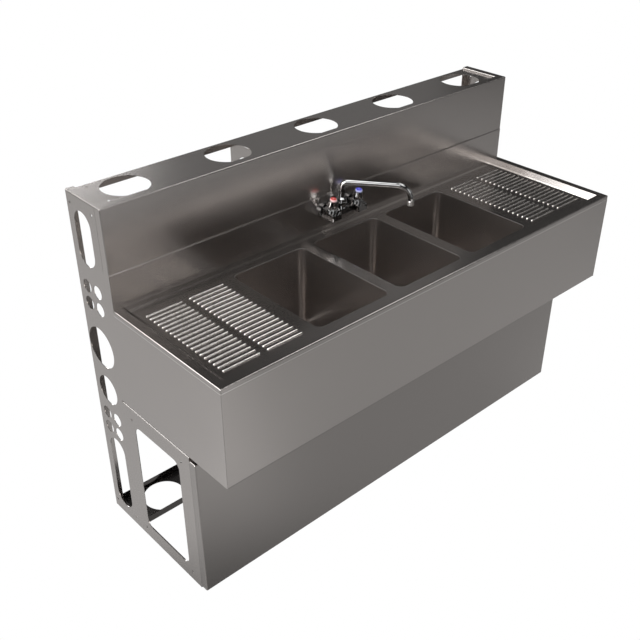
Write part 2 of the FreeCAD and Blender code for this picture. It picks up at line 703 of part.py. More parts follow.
def die_stud(name, side):
    """An upright between the two channels, with the same knock-outs as the ends."""
    body = new_body(f"die_stud_{name}")
    sketch = sketch_on(body, "XY", "sheet_gauge")
    outer, inner = f"{side} * stud_x", f"{side} * (stud_x - flange_width)"
    web = f"{side} * (stud_x - sheet_gauge)"
    low, high = "frame_y + sheet_gauge", "back_y - sheet_gauge"
    draw_outline(sketch, [
        (outer, low), (inner, low), (inner, f"{low} + sheet_gauge"), (web, f"{low} + sheet_gauge"),
        (web, f"{high} - sheet_gauge"), (inner, f"{high} - sheet_gauge"), (inner, high), (outer, high),
    ])
    extrude(body, sketch, "plate_z - sheet_gauge * 2")
    holes = sketch_on(body, "YZ", outer)
    draw_knockouts(holes)
    pocket(body, holes, "sheet_gauge", reverse=side < 0)
    return body


def front_pan(label, front, back, low, high):
    """A front sheet whose four edges are folded backwards."""
    body = new_body(label)
    outer = sketch_on(body, "XZ", front)
    draw_rectangle(outer, ("-half_length", "half_length"), (low, high))
    extrude(body, outer, f"{back} - ({front})", reverse=True)
    inner = sketch_on(body, "XZ", back)
    draw_rectangle(inner, ("-plate_end", "plate_end"), (f"{low} + sheet_gauge", f"{high} - sheet_gauge"))
    pocket(body, inner, f"{back} - ({front}) - sheet_gauge", reverse=True)
    return body


def die_front_panel():
    body = front_pan("die_front_panel", "splash_y", "frame_y", "splash_top_z", "die_height")
    lip = sketch_on(body, "XZ", "frame_y")
    draw_rectangle(lip, ("-plate_end", "plate_end"), ("plate_z", "die_height - sheet_gauge"))
    extrude(body, lip, "sheet_gauge")
    folds = edges_on(body, Y="splash_y", Z="die_height") + edges_on(body, Y="splash_y", Z="splash_top_z")
    for side in SIDES.values():
        folds += edges_on(body, X=f"{side} * half_length", Z="die_height")
        folds += edges_on(body, X=f"{side} * half_length", Y="splash_y")
    soften(body, folds, "bend_radius")
    soften(body, edges_on(body, Y="frame_y", Z="die_height"), "lip_radius")
    return body


# ---------------------------------------------------------------- sink

def draw_bowl_outline(sketch, middle, edge, radius):
    """A bowl's outline in plan, `edge` outside its inner wall."""
    across = f"(bowl_width / 2 + {edge})"
    along = f"(bowl_length / 2 + {edge})"
    draw_rounded(sketch, (f"{middle} - {across}", f"{middle} + {across}"),
                 (f"bowl_y - {along}", f"bowl_y + {along}"), radius)


def draw_tray(sketch, run, grow):
    """The recess in plan, `run` inside its top edge and `grow` outside that."""
    reach = f"half_length - rim_width - {run} + {grow}"
    back = f"splash_y + {grow} * 2"
    draw_rectangle(sketch, (f"-({reach})", reach), (f"front_y + rim_width + {run} - {grow}", back))


def sink_deck():
    """Rim, recessed drainboards and ribs, with the edges turned down all round."""
    body = new_body("sink_deck")
    cap = sketch_on(body, "XY", "turn_z")
    back = "splash_y + sheet_gauge"
    draw_rectangle(cap, ("-half_length", "half_length"), ("front_y", back))
    extrude(body, cap, "edge_turn")
    under = sketch_on(body, "XY", "turn_z")
    draw_rectangle(under, ("-plate_end", "plate_end"), ("front_y + sheet_gauge", back))
    pocket(body, under, "edge_turn - sheet_gauge", reverse=True)

    for kind, lift, grow in (("Additive", "sheet_gauge", "sheet_gauge / 2"), ("Subtractive", "0", "0")):
        top = sketch_on(body, "XY", f"rim_height - {lift}")
        draw_tray(top, "0", grow)
        bottom = sketch_on(body, "XY", f"deck_z - {lift}")
        draw_tray(bottom, "recess_slope", grow)
        loft(body, kind, top, bottom)

    openings = sketch_on(body, "XY", "deck_z")
    for bowl in BOWLS.values():
        draw_bowl_outline(openings, f"{bowl} * bowl_pitch", "bowl_edge", "bowl_corner + bowl_edge")
    pocket(body, openings, "sheet_gauge * 2")

    folds = edges_on(body, Y="front_y", Z="rim_height")
    for side in SIDES.values():
        folds += edges_on(body, X=f"{side} * half_length", Z="rim_height")
        folds += edges_on(body, X=f"{side} * half_length", Y="front_y")
    soften(body, folds, "bend_radius")

    first_row = "splash_y - rib_row_setback - (rib_count - 1) / 2 * rib_pitch"
    ribs = sketch_on(body, "XY", "deck_z", row=first_row)
    for side in SIDES.values():
        for column in SIDES.values():
            near = f"{side} * drainboard_x + {column} * rib_column_gap / 2"
            left, right = (near, f"{near} + rib_length") if column > 0 else (f"{near} - rib_length", near)
            draw_half_slot(ribs, left, right, "rib_width / 2")
    row = revolve(body, ribs, "H_Axis", 180.0)
    rows = body.newObject("PartDesign::LinearPattern", "rib_rows")
    rows.Originals = [row]
    rows.Direction = (ribs, ["V_Axis"])
    bind(rows, "Length", "(rib_count - 1) * rib_pitch")
    bind(rows, "Occurrences", "rib_count")
    body.Tip = rows
    return body


def sink_splash():
    """The upright behind the deck, folded back at the top, with two inlet holes."""
    body = new_body("sink_splash")
    profile = sketch_on(body, "YZ", "-plate_end")
    face, rear = "splash_y + sheet_gauge", "frame_y - sheet_gauge"
    draw_outline(profile, [
        ("splash_y", "rim_height"), (face, "rim_height"), (face, "splash_top_z - sheet_gauge"),
        (rear, "splash_top_z - sheet_gauge"), (rear, "splash_top_z"), ("splash_y", "splash_top_z"),
    ])
    extrude(body, profile, "plate_end * 2")
    soften(body, edges_on(body, Y="splash_y", Z="splash_top_z"), "bend_radius")
    holes = sketch_on(body, "XZ", "splash_y")
    for side in VALVES.values():
        draw_circle(holes, f"{side} * valve_x", "inlet_z", "shank_diameter / 2 + shank_play")
    pocket(body, holes, "sheet_gauge")
    return body


def sink_apron():
    """The front sheet below the deck's turned edge, folded back at the bottom."""
    body = new_body("sink_apron")
    profile = sketch_on(body, "YZ", "-plate_end")
    inside, fold = "front_y + sheet_gauge", "sink_low_z + sheet_gauge"
    draw_outline(profile, [
        ("front_y", "sink_low_z"), ("front_y + flange_width", "sink_low_z"),
        ("front_y + flange_width", fold), (inside, fold), (inside, "turn_z"), ("front_y", "turn_z"),
    ])
    extrude(body, profile, "plate_end * 2")
    soften(body, edges_on(body, Y="front_y", Z="sink_low_z"), "bend_radius")
    return body


def sink_side(name, side):
    """An end sheet that also closes the end of the splash."""
    body = new_body(f"sink_side_{name}")
    sheet_face = sketch_on(body, "YZ", f"{side} * half_length")
    step = "splash_y + sheet_gauge"
    draw_outline(sheet_face, [
        ("front_y", "sink_low_z"), ("frame_y", "sink_low_z"), ("frame_y", "splash_top_z"),
        ("splash_y", "splash_top_z"), ("splash_y", "rim_height"), (step, "rim_height"),
        (step, "turn_z"), ("front_y", "turn_z"),
    ])
    extrude(body, sheet_face, "sheet_gauge", reverse=side > 0)
    soften(body, edges_on(body, Y="splash_y", Z="splash_top_z"), "bend_radius")
    soften(body, edges_on(body, X=f"{side} * half_length", Y="front_y"), "corner_grind")
    folds = sketch_on(body, "YZ", f"{side} * plate_end")
    rear, fold = "frame_y - sheet_gauge", "sink_low_z + sheet_gauge"
    draw_outline(folds, [
        ("front_y + flange_width", "sink_low_z"), ("frame_y", "sink_low_z"),
        ("frame_y", "splash_top_z"), (rear, "splash_top_z"), (rear, fold),
        ("front_y + flange_width", fold),
    ])
    extrude(body, folds, "flange_width - sheet_gauge", reverse=side > 0)
    cut_bolt_holes(body, side, "frame_y", SINK_BOLTS)
    return body


def sink_rear_rail():
    """Ties the two sink ends together at the bottom, in front of the die wall."""
    rear = "frame_y"
    low = "sink_low_z"
    pieces = [
        block(("-flange_end", "flange_end"), (f"{rear} - sheet_gauge", rear), (low, f"{low} + rail_height")),
        block(("-flange_end", "flange_end"), (f"{rear} - rail_depth", rear), (low, f"{low} + sheet_gauge")),
    ]
    return joined(pieces, "sink_rear_rail")


def drainboard_stiffener(name, side):
    """A channel under a drainboard, from the front slope to the splash."""
    body = new_body(f"drainboard_stiffener_{name}")
    start = "(front_y + rim_width + recess_slope)"
    profile = sketch_on(body, "XZ", start)
    top, low = "deck_z - sheet_gauge", "deck_z - sheet_gauge - stiffener_height"
    left, right = [f"{side} * drainboard_x {sign} stiffener_width / 2" for sign in "-+"]
    draw_outline(profile, [
        (left, low), (f"{left} + sheet_gauge", low), (f"{left} + sheet_gauge", f"{top} - sheet_gauge"),
        (f"{right} - sheet_gauge", f"{top} - sheet_gauge"), (f"{right} - sheet_gauge", low),
        (right, low), (right, top), (left, top),
    ])
    extrude(body, profile, f"splash_y - {start}", reverse=True)
    return body


def bowl(name, step):
    """A drawn bowl with a welding flange, coved floor and drain hole."""
    body = new_body(f"bowl_{name}")
    middle = f"{step} * bowl_pitch"

    def outline_at(owner, height, edge, radius):
        sketch = sketch_on(owner, "XY", height)
        draw_bowl_outline(sketch, middle, edge, radius)
        return sketch

    tub = outline_at(body, "deck_z", "sheet_gauge", "bowl_corner + sheet_gauge")
    extrude(body, tub, "bowl_depth + sheet_gauge", reverse=True)
    soften(body, edges_on(body, Z="bowl_floor_z - sheet_gauge"), "bowl_cove + sheet_gauge")
    flange = outline_at(body, "deck_z", "bowl_edge", "bowl_corner + bowl_edge")
    extrude(body, flange, "sheet_gauge", reverse=True)
    reach = [(f"{middle} - bowl_width / 2 - sheet_gauge", f"{middle} + bowl_width / 2 + sheet_gauge"),
             ("bowl_y - bowl_length / 2 - sheet_gauge", "bowl_y + bowl_length / 2 + sheet_gauge")]
    hollow = new_body(f"hollow_{name}")
    inside = outline_at(hollow, "deck_z", "0", "bowl_corner")
    extrude(hollow, inside, "bowl_depth", reverse=True)
    soften(hollow, edges_on(hollow, Z="bowl_floor_z"), "bowl_cove")
    subtract(body, hollow)
    soften(body, edges_within(body, *reach, ("deck_z", "deck_z")), "bowl_roll")
    hole = sketch_on(body, "XY", "bowl_floor_z")
    draw_circle(hole, middle, "bowl_y", "drain_body / 2 + drain_play")
    pocket(body, hole, "sheet_gauge")
    return body


# ---------------------------------------------------------------- drains

def drain_parts(name, step):
    """Everything that hangs in one bowl's drain hole, drawn about the drain's axis."""
    at = (f"{step} * bowl_pitch", "bowl_y", "0")
    bore = "drain_body / 2 - drain_wall"
    outlet = "tail_diameter / 2 - tail_wall"
    floor = "drain_low_z + drain_wall"
    body = turned_part(f"drain_body_{name}", [
        (bore, floor), (bore, "bowl_floor_z + drain_flange_thickness"),
        ("drain_flange / 2 - drain_flange_thickness / 2", "bowl_floor_z + drain_flange_thickness"),
        ("drain_flange / 2", "bowl_floor_z"), ("drain_body / 2", "bowl_floor_z"),
        ("drain_body / 2", "drain_low_z"), ("tail_diameter / 2 + drain_wall", "drain_low_z"),
        ("tail_diameter / 2 + drain_wall", "drain_low_z - tail_nut_height"),
        ("tail_diameter / 2", "drain_low_z - tail_nut_height"), ("tail_diameter / 2", "tail_top_z"),
        (outlet, "tail_top_z"), (outlet, floor),
    ], at)
    tail = grooved_tube(f"drain_tailpiece_{name}", outlet, "tail_diameter / 2",
                        ("tail_top_z - tail_length", "tail_top_z"), "tail_groove_z - groove_width", at)
    return [body, tail, strainer_basket(name, at)]


def strainer_basket(name, at):
    """A lift-out cup with a perforated floor and a knob."""
    top = "(bowl_floor_z + drain_flange_thickness)"
    low = f"({top} - basket_height)"
    foot = "(basket_radius - basket_taper)"
    body = turned_part(f"strainer_basket_{name}", [
        ("0", low), (foot, low), ("basket_radius", top), ("basket_radius - sheet_gauge", top),
        (f"{foot} - sheet_gauge", f"{low} + sheet_gauge"), ("knob_neck / 2", f"{low} + sheet_gauge"),
        ("knob_neck / 2", f"{top} - knob_height / 2 - knob_edge"),
        ("knob_diameter / 2", f"{top} - knob_height / 2"), ("knob_diameter / 2", top),
        ("knob_diameter / 2 - knob_edge", f"{top} + knob_height / 2"), ("0", f"{top} + knob_height / 2"),
    ], at)
    for circle in ("outer", "inner"):
        first = sketch_on(body, "XY", low)
        draw_circle(first, f"basket_{circle}_ring", "0", "basket_hole / 2")
        hole = pocket(body, first, "sheet_gauge", reverse=True)
        repeat_around(body, hole, first, f"basket_{circle}_holes")
    return body


def drain_gaskets():
    gaskets = []
    for step in BOWLS.values():
        at = (f"{step} * bowl_pitch", "bowl_y", "bowl_floor_z - sheet_gauge - gasket_thickness")
        hole = rod("drain_body / 2 + drain_play", "gasket_thickness", at)
        gaskets.append(less(rod("drain_flange / 2", "gasket_thickness", at), [hole]))
    return group(gaskets, "drain_gaskets")


def drain_locknuts():
    """Round nuts with notches for a spanner."""
    nuts = []
    outer = "(drain_body / 2 + drain_nut_width)"
    low = "bowl_floor_z - sheet_gauge - gasket_thickness - drain_nut_height"
    for step in BOWLS.values():
        x = f"{step} * bowl_pitch"
        tools = [rod("drain_body / 2 + running_play", "drain_nut_height", (x, "bowl_y", low))]
        for notch in range(round(number("drain_nut_notches"))):
            angle = f"{notch} * 360 / drain_nut_notches"
            notch_at = (f"{x} + {outer} * cos({angle})", f"bowl_y + {outer} * sin({angle})", low)
            tools.append(rod("drain_nut_width / 2", "drain_nut_height", notch_at))
        nuts.append(less(rod(outer, "drain_nut_height", (x, "bowl_y", low)), tools))
    return group(nuts, "drain_locknuts")


def tailpiece_nuts():
    nuts = []
    for step in BOWLS.values():
        at = (f"{step} * bowl_pitch", "bowl_y", "drain_low_z - tail_nut_height")
        nuts.append(less(
            hexagon("tail_nut_across", "tail_nut_height", at),
            [rod("tail_diameter / 2 + drain_wall + running_play", "tail_nut_height", at)],
        ))
    return group(nuts, "tailpiece_nuts")


# ---------------------------------------------------------------- base

def base_end_panel(name, side):
    y = ("base_frame_y", "frame_y")
    body = end_pan(f"base_end_panel_{name}", side, y, "base_height")

    def draw(sketch):
        draw_rounded(sketch, (f"{y[0]} + base_cutout_margin", f"{y[1]} - base_cutout_margin"),
                     ("base_cutout_low", "base_cutout_high"), "base_cutout_corner")
        for across in (f"{y[0]} + base_fixing_inset", f"{y[1]} - base_fixing_inset"):
            for z in ("fixing_height", "base_height - base_fixing_drop"):
                draw_circle(sketch, across, z, "fixing_diameter / 2")

    cut_end(body, side, draw)
    cut_bolt_holes(body, side, "frame_y", BASE_BOLTS)
    face = f"{side} * half_length"
    soften(body, edges_on(body, X=face, Z="base_height"), "bend_radius")
    return body


def base_rail(label, low):
    """A channel across the front of the base, slotted for the panel's hooks."""
    front = "base_frame_y + sheet_gauge"
    ends = ("-plate_end", "plate_end")
    high = f"{low} + rail_height"
    pieces = [
        block(ends, (front, f"{front} + sheet_gauge"), (low, high)),
        block(ends, (front, f"{front} + rail_depth"), (low, f"{low} + sheet_gauge")),
        block(ends, (front, f"{front} + rail_depth"), (f"{high} - sheet_gauge", high)),
    ]
    slots = [
        block((f"{side} * hook_x - hook_width / 2 - moving_gap",
               f"{side} * hook_x + hook_width / 2 + moving_gap"),
              (f"{front} - sheet_gauge", f"{front} + sheet_gauge * 2"),
              (f"{low} + hook_slot_floor", f"{low} + hook_slot_floor + hook_slot_height"))
        for side in SIDES.values()
    ]
    return less(joined(pieces), slots, label)


def base_front_panel():
    body = front_pan("base_front_panel", "base_front_y", "panel_back_y", "panel_low", "panel_high")
    folds = edges_on(body, Y="base_front_y", Z="panel_high")
    for side in SIDES.values():
        folds += edges_on(body, X=f"{side} * half_length", Y="base_front_y")
        folds += edges_on(body, X=f"{side} * half_length", Z="panel_high")
    soften(body, folds, "bend_radius")
    return body


def panel_hooks():
    """Four hooks on the panel's back that hang over the slot floors of the two rails."""
    hooks = []
    web_back = "base_frame_y + sheet_gauge * 2"
    inside = "base_front_y + sheet_gauge"
    rails = {"sheet_gauge": ("0", "flange_width"), "top_rail_z": ("hook_gauge - flange_width", "hook_gauge")}
    for low, (pad_low, pad_high) in rails.items():
        floor = f"({low} + hook_slot_floor + moving_gap)"
        pad = (f"{floor} + {pad_low}", f"{floor} + {pad_high}")
        for side in SIDES.values():
            x = [f"{side} * hook_x {sign} hook_width / 2" for sign in "-+"]
            tip = (f"{web_back} + moving_gap", f"{web_back} + moving_gap + hook_gauge")
            hooks.append(joined([
                block(x, (inside, tip[1]), (floor, f"{floor} + hook_gauge")),
                block(x, tip, (f"{floor} - hook_drop", floor)),
                block(x, (inside, f"{inside} + hook_gauge"), pad),
            ]))
    return group(hooks, "panel_hooks")


def seat_strips():
    """Strips between the base ends and the sink's bottom folds."""
    strips = []
    for side in SIDES.values():
        x = span(side, "plate_end - seat_strip_width", "plate_end")
        strips.append(block(x, ("base_frame_y", "frame_y - flange_width"), ("base_height", "sink_low_z")))
    return group(strips, "seat_strips")


# ---------------------------------------------------------------- fasteners

def bolt_places():
    return [
        (f"{side} * bolt_x", height) for side in SIDES.values() for height in BASE_BOLTS + SINK_BOLTS
    ]


def frame_bolts():
    """Hexagon bolts that hold sink and base to the die wall."""
    rear, front = "frame_y + sheet_gauge", "frame_y - sheet_gauge"
    bolts = []
    for x, z in bolt_places():
        head = hexagon("bolt_across", "bolt_head", (x, front, z), 90)
        length = f"{rear} + nut_height + bolt_end - ({front})"
        shaft = rod("bolt_diameter / 2", length, (x, f"{rear} + nut_height + bolt_end", z), 90)
        bolts.append(joined([head, shaft]))
    return group(bolts, "frame_bolts")


def frame_nuts():
    rear = "frame_y + sheet_gauge + nut_height"
    nuts = []
    for x, z in bolt_places():
        outer = hexagon("bolt_across", "nut_height", (x, rear, z), 90)
        nuts.append(less(outer, [rod("bolt_diameter / 2 + running_play", "nut_height", (x, rear, z), 90)]))
    return group(nuts, "frame_nuts")


# ---------------------------------------------------------------- faucet

def faucet_body():
    """Two square housings that lean to the user, joined by a bridge with the spout's boss."""
    body = new_body("faucet_body")
    back = "(splash_y - valve_block_back)"
    front = f"({back} - valve_block_depth)"
    low = "(valve_z - valve_block_height)"
    lean = "tan(valve_tilt)"
    front_top = f"valve_z - (valve_y - {front}) * {lean}"
    back_top = f"valve_z + ({back} - valve_y) * {lean}"
    for side in VALVES.values():
        left = f"{side} * valve_x - valve_block / 2"
        profile = sketch_on(body, "YZ", left)
        draw_outline(profile, [(front, low), (back, low), (back, back_top), (front, front_top)])
        extrude(body, profile, "valve_block")
    upright = []
    for side in VALVES.values():
        for x in (f"{side} * valve_x - valve_block / 2", f"{side} * valve_x + valve_block / 2"):
            upright += edges_on(body, X=x, Y=front)
    soften(body, upright, "housing_chamfer", "Chamfer")

    bridge = sketch_on(body, "YZ", "-valve_x")
    draw_rectangle(bridge, (f"{back} - bridge_width", back),
                   (f"{low} + sheet_gauge", f"{low} + sheet_gauge + bridge_height"))
    extrude(body, bridge, "valve_spacing")
    boss = sketch_on(body, "XY", f"{low} + sheet_gauge")
    draw_circle(boss, "0", "spout_y", "spout_boss / 2")
    extrude(body, boss, f"boss_z - {low} - sheet_gauge")
    necks = sketch_on(body, "XZ", back)
    for side in VALVES.values():
        draw_circle(necks, f"{side} * valve_x", "inlet_z", "shank_diameter / 2 + neck_wall")
    extrude(body, necks, "valve_block_back - wall_flange_depth", reverse=True)

    spout_bore = sketch_on(body, "XY", "boss_z")
    draw_circle(spout_bore, "0", "spout_y", "spout_diameter / 2 + running_play")
    pocket(body, spout_bore, "spout_depth + moving_gap")
    wells = sketch_on(body, "XY", "valve_z + valve_block_height")
    for side in VALVES.values():
        draw_circle(wells, f"{side} * valve_x", "valve_y", "well_diameter / 2")
    pocket(body, wells, "valve_block_height + well_depth")
    return body


def wall_flanges():
    """Two escutcheons between the housings and the splash."""
    rings = []
    for side in VALVES.values():
        at = (f"{side} * valve_x", "splash_y", "inlet_z")
        disc = rod("wall_flange_diameter / 2", "wall_flange_depth", at, 90)
        rings.append(less(disc, [rod("shank_diameter / 2 + shank_play", "wall_flange_depth", at, 90)]))
    return group(rings, "faucet_wall_flanges")


def inlet_shank(name, side):
    """A threaded tube from the housing through the splash, drawn upright and laid on its side."""
    return grooved_tube(f"inlet_shank_{name}", "shank_bore / 2", "shank_diameter / 2",
                        ("-shank_end", "wall_flange_depth"), "-(shank_groove + groove_width)",
                        (f"{side} * valve_x", "splash_y", "inlet_z"), "90")


def shank_locknuts():
    nuts = []
    for side in VALVES.values():
        at = (f"{side} * valve_x", "splash_y + sheet_gauge + shank_nut_height", "inlet_z")
        outer = hexagon("shank_nut_across", "shank_nut_height", at, 90)
        nuts.append(less(outer, [rod("shank_diameter / 2 + running_play", "shank_nut_height", at, 90)]))
    return group(nuts, "shank_locknuts")


def valve_at(side):
    return (f"{side} * valve_x", "valve_y", "valve_z")


def valve_bonnet(name, side):
    return turned_part(f"valve_bonnet_{name}", [
        ("stem_diameter / 2 + running_play", "0"), ("bonnet_diameter / 2", "0"),
        ("bonnet_diameter / 2", "bonnet_height - bonnet_chamfer"),
        ("bonnet_diameter / 2 - bonnet_chamfer", "bonnet_height"),
        ("stem_diameter / 2 + running_play", "bonnet_height"),
    ], valve_at(side), "valve_tilt")


def valve_stem(name, side):
    return turned_part(f"valve_stem_{name}", [
        ("0", "-stem_depth"), ("stem_diameter / 2", "-stem_depth"),
        ("stem_diameter / 2", "bonnet_height + stem_grip"),
        ("0", "bonnet_height + stem_grip"),
    ], valve_at(side), "valve_tilt")


def valve_handle(name, side):
    """A round knob, hollow over its bonnet, with finger flutes and a seat for its button."""
    body = turned_part(f"valve_handle_{name}", [
        ("bonnet_diameter / 2 + moving_gap", "handle_gap"),
        ("handle_foot / 2", "handle_gap"),
        ("handle_foot / 2", "handle_foot_rise"),
        ("handle_waist / 2", "handle_waist_low"),
        ("handle_waist / 2", "handle_waist_high"),
        ("handle_crown / 2", "handle_height - handle_edge"),
        ("handle_crown / 2 - handle_edge", "handle_height"),
        ("button_diameter / 2", "handle_height"),
        ("button_diameter / 2", "handle_height - button_depth"),
        ("0", "handle_height - button_depth"),
        ("0", "bonnet_height + stem_grip"),
        ("stem_diameter / 2", "bonnet_height + stem_grip"),
        ("stem_diameter / 2", "bonnet_height + moving_gap"),
        ("bonnet_diameter / 2 + moving_gap", "bonnet_height + moving_gap"),
    ], valve_at(side), "valve_tilt")
    first = sketch_on(body, "XY", "handle_height")
    draw_circle(first, "handle_waist / 2 + flute_diameter / 4", "0", "flute_diameter / 2")
    flute = pocket(body, first, "flute_length")
    repeat_around(body, flute, first, "flute_count")
    return body


def index_button(name, side):
    low, high = "handle_height - button_depth", "handle_height + button_rise"
    profile = [("0", low), ("button_diameter / 2", low), ("button_diameter / 2", high), ("0", high)]
    body = turned_part(f"index_button_{name}", profile, valve_at(side), "valve_tilt")
    soften(body, edges_on(body, Z=high), "button_dome")
    return body


def spout_nut():
    bore = "spout_diameter / 2 + running_play"
    return turned_part("spout_nut", [
        (bore, "boss_z"), ("spout_nut_diameter / 2", "boss_z"),
        ("spout_nut_diameter / 2", "boss_z + spout_nut_shoulder"),
        (f"{bore} + spout_nut_lip", "boss_z + spout_nut_height"), (bore, "boss_z + spout_nut_height"),
    ], ("0", "spout_y", "0"))


def spout():
    """A swept tube: up the riser, over, along the arm and down to the outlet."""
    body = new_body("spout")
    foot = "boss_z - spout_depth"
    arm = "(rim_height + spout_rise)"
    outlet = "rim_height + spout_outlet_rise"
    route = sketch_on(body, "XZ")
    arm_z, turn, bend = number(arm), number("spout_turn"), number("spout_bend")
    reach = number("spout_reach")
    riser = add_line(route, (0, number(foot)), (0, arm_z - turn))
    over = add_arc(route, (turn, arm_z - turn), turn, 90, 180)
    along = add_line(route, (turn, arm_z), (reach - bend, arm_z))
    down = add_arc(route, (reach - bend, arm_z - bend), bend, 0, 90)
    drop = add_line(route, (reach, arm_z - bend), (reach, number(outlet)))
    for piece, end, after, start in ((riser, 2, over, 2), (over, 1, along, 1),
                                     (along, 2, down, 2), (down, 1, drop, 1)):
        link(route, "Tangent", piece, end, after, start)
    link(route, "Vertical", riser)
    link(route, "Horizontal", along)
    link(route, "Vertical", drop)
    pin_point(route, riser, 1, "0", foot)
    pin_point(route, drop, 2, "spout_reach", outlet)
    hold(route, "DistanceY", -1, 1, along, 1, size=arm)
    hold(route, "Radius", over, size="spout_turn")
    hold(route, "Radius", down, size="spout_bend")
    outer = "spout_diameter / 2"
    for kind, radius in (("Additive", outer), ("Subtractive", f"{outer} - spout_wall")):
        section = sketch_on(body, "XY", foot)
        draw_circle(section, "0", "0", radius)
        tube = body.newObject(f"PartDesign::{kind}Pipe", kind.lower() + "_pipe")
        tube.Profile = section
        tube.Spine = (route, [])
        doc.recompute()
    return place(body, ("0", "spout_y", "0"), turn="spout_swing")


def aerator():
    """A knurled cap on the outlet, drawn about its own axis."""
    low, top = "rim_height + aerator_rise", "rim_height + aerator_rise + aerator_length"
    seat = "rim_height + spout_outlet_rise"
    tube = "spout_diameter / 2"
    screen = f"{tube} - spout_wall"
    at = ("spout_reach * cos(spout_swing)", "spout_y + spout_reach * sin(spout_swing)", "0")
    return turned_part("aerator", [
        ("0", f"{seat} - screen_rise"), (screen, f"{seat} - screen_rise"), (screen, low),
        ("aerator_diameter / 2 - aerator_edge", low), ("aerator_diameter / 2", f"{low} + aerator_edge"),
        ("aerator_diameter / 2", f"{top} - aerator_shoulder"), (f"{tube} + aerator_edge", top),
        (tube, top), (tube, seat), ("0", seat),
    ], at)


# ---------------------------------------------------------------- assembly

made = [die_top_channel(), die_bottom_channel(), die_front_panel()]
for name, side in SIDES.items():
    made += [die_end_panel(name, side), die_stud(name, side), sink_side(name, side)]
    made += [drainboard_stiffener(name, side), base_end_panel(name, side)]
made += [sink_deck(), sink_splash(), sink_apron(), sink_rear_rail()]
for name, step in BOWLS.items():
    made += [bowl(name, step)] + drain_parts(name, step)
made += [drain_gaskets(), drain_locknuts(), tailpiece_nuts()]
made += [base_rail("base_rail_top", "top_rail_z"), base_rail("base_rail_bottom", "sheet_gauge")]
made += [base_front_panel(), panel_hooks(), seat_strips(), frame_bolts(), frame_nuts()]
made += [faucet_body(), wall_flanges(), shank_locknuts(), spout_nut(), spout(), aerator()]
for name, side in VALVES.items():
    made += [inlet_shank(name, side), valve_bonnet(name, side), valve_stem(name, side)]
    made += [valve_handle(name, side), index_button(name, side)]

doc.recompute()

failed = [thing.Name for thing in doc.Objects if {"Invalid", "Error"} & set(thing.State)]
if failed:
    raise RuntimeError(f"these objects failed: {failed}")
for thing in doc.Objects:
    if thing.isDerivedFrom("PartDesign::Pocket") or thing.isDerivedFrom("PartDesign::SubtractiveLoft"):
        if thing.Shape.Volume >= thing.BaseFeature.Shape.Volume - TINY:
            owner = thing.getParentGeoFeatureGroup().Label
            raise RuntimeError(f"{thing.Name} of {owner} cuts nothing")
for part in made:
    if part.Shape.isNull() or not part.Shape.isValid():
        raise RuntimeError(f"{part.Label} has no valid shape")

os.makedirs("parts", exist_ok=True)
for part in made:
    part.Shape.exportStep(f"parts/{part.Label}.step")
print(f"{len(made)} sub-parts, {sum(part.Shape.Volume for part in made):.0f} cubic millimetres")
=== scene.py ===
import math

import bmesh
import bpy
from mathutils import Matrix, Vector


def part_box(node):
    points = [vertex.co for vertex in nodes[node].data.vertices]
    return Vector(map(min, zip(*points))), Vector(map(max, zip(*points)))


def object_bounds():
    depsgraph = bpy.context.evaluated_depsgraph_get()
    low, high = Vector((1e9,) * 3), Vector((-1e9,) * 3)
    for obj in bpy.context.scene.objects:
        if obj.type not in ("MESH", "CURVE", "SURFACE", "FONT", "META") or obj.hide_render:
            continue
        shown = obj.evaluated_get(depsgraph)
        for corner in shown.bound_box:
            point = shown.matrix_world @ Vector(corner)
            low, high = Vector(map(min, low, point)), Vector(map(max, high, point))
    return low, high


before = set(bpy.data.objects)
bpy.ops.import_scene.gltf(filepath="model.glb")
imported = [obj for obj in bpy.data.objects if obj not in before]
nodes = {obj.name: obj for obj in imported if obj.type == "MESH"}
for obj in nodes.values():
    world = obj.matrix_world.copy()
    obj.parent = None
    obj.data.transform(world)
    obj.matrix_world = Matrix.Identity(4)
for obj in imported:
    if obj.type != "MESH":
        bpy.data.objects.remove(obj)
cad_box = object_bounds()

# ---------------------------------------------------------------- camera

CAMERA_PLACE = Vector((-1.6490, -1.6008, 1.9267))
CAMERA_AZIMUTH = math.radians(-42.279)
CAMERA_ELEVATION = math.radians(32.249)
LENS_MM = 50.0
SENSOR_MM = 36.0


def direction(azimuth, elevation):
    """From the object towards a camera or light: azimuth 0 is the front, +90 the right."""
    return Vector((
        math.sin(azimuth) * math.cos(elevation),
        -math.cos(azimuth) * math.cos(elevation),
        math.sin(elevation),
    ))


def in_scene(name, data):
    """A new object for some data, linked into the scene."""
    thing = bpy.data.objects.new(name, data)
    bpy.context.scene.collection.objects.link(thing)
    return thing


def aim(thing, towards):
    """Turn a camera or light so that it looks in a direction."""
    thing.rotation_mode = "QUATERNION"
    thing.rotation_quaternion = towards.to_track_quat("-Z", "Y")


def add_camera():
    lens = bpy.data.cameras.new("camera")
    lens.lens = LENS_MM
    lens.sensor_width = SENSOR_MM
    camera = in_scene("camera", lens)
    camera.location = CAMERA_PLACE
    aim(camera, -direction(CAMERA_AZIMUTH, CAMERA_ELEVATION))
    bpy.context.scene.camera = camera


# ---------------------------------------------------------------- studio

BACKDROP_RADIUS = 40.0
DOME_SEGMENTS = 24
DOME_RINGS = 12
LAMP_DISTANCE = 8.0
AMBIENT = 0.04
AMBIENT_COLOUR = (1, 0.985, 0.97)

